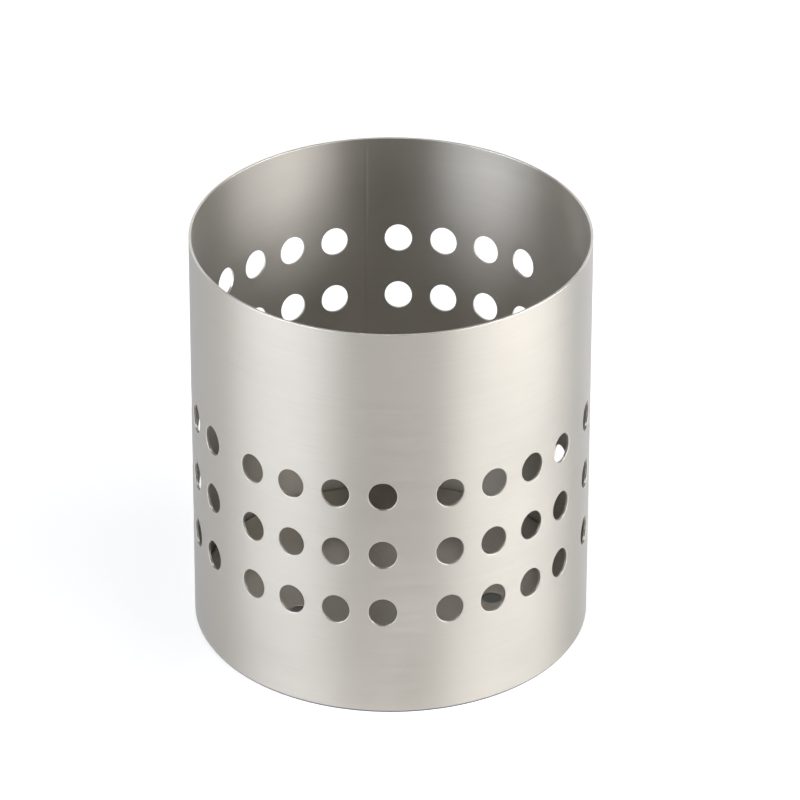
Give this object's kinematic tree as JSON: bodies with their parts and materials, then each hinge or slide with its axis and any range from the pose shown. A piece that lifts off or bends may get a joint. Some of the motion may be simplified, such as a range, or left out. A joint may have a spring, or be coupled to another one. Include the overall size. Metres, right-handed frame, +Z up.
{
  "type": "cutlery holder",
  "caption": "Round open steel cup that stands on a table and holds cutlery upright, with groups of punched holes round its wall for air and drainage.",
  "frame": {"origin": "middle of the holder's underside, on the surface that it stands on", "axes": "+Z up along the middle of the cup, -Y towards the plain strip between two groups of holes at the front, +Y towards the seam at the back, +X to the right as seen from the front"},
  "size_m": [0.12, 0.12, 0.1307],
  "materials": {
    "satin_steel": "fine satin, brushed round the cup, with holes and edges deburred",
    "pressed_steel": "plain mill finish of a pressed sheet",
    "soft_ring": "matt, moulded, dark grey"
  },
  "bodies": {
    "root": {"wall": "satin_steel", "floor_pan": "pressed_steel", "foot_ring": "soft_ring"}
  },
  "joints": []
}
